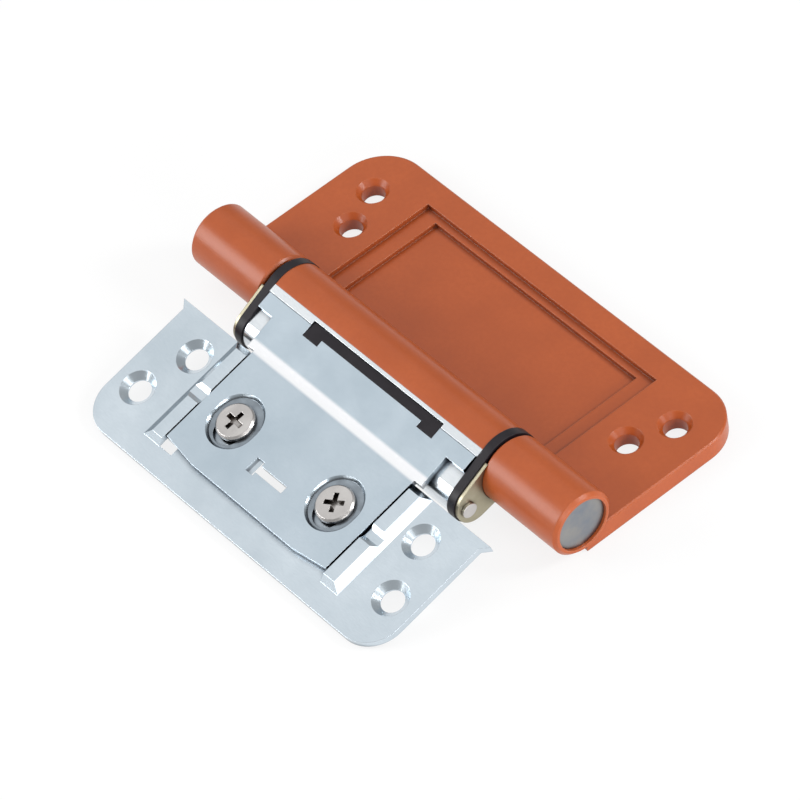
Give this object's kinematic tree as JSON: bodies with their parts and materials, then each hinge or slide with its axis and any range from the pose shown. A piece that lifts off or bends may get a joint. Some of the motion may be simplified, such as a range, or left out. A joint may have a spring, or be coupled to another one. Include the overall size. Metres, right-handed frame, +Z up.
{
  "type": "butt hinge",
  "caption": "Surface-mounted adjustable butt hinge: coated casting with a stepped recess and full-length barrel, pinned to a plated door leaf with a clamped sliding plate.",
  "frame": {"origin": "bottom centre of the bounding box, with the hinge lying open and both leaves down on the table", "axes": "+X along the hinge pin, +Y towards the cast frame leaf, +Z up out of the leaves' show faces"},
  "size_m": [0.1296, 0.1024, 0.019],
  "materials": {
    "copper_coat": "satin powder coat",
    "zinc_plate": "bright bluish zinc plating",
    "black_nylon": "smooth moulded nylon",
    "grey_cap": "semi-gloss moulding",
    "passivated_steel": "yellowish passivated zinc",
    "screw_steel": "plated steel",
    "pin_steel": "ground steel"
  },
  "bodies": {
    "frame_leaf": {"leaf_casting": "copper_coat", "hinge_pin": "pin_steel", "end_bush_left": "black_nylon", "end_bush_right": "black_nylon", "end_cap_left": "grey_cap", "end_cap_right": "grey_cap"},
    "knuckle": {"knuckle_core": "zinc_plate", "knuckle_liner": "black_nylon", "slot_strip": "black_nylon", "knuckle_cover": "copper_coat", "adjusting_plate": "zinc_plate", "washer_left": "black_nylon", "washer_right": "black_nylon", "side_plate_left": "passivated_steel", "side_plate_right": "passivated_steel", "rivet_left": "screw_steel", "rivet_right": "screw_steel"},
    "door_leaf": {"base_plate": "zinc_plate", "clamp_screw_left": "screw_steel", "clamp_screw_right": "screw_steel"}
  },
  "joints": [
    {"name": "leaf_turn", "type": "hinge", "parent": "frame_leaf", "child": "knuckle", "pos_m": [0, 0.00192, 0.0106], "axis": [-1, 0, 0], "range_deg": [0, 193.5]},
    {"name": "side_adjust", "type": "slide", "parent": "knuckle", "child": "door_leaf", "axis": [0, -0.9706, -0.2408], "range_m": [0, 0.0018]}
  ]
}
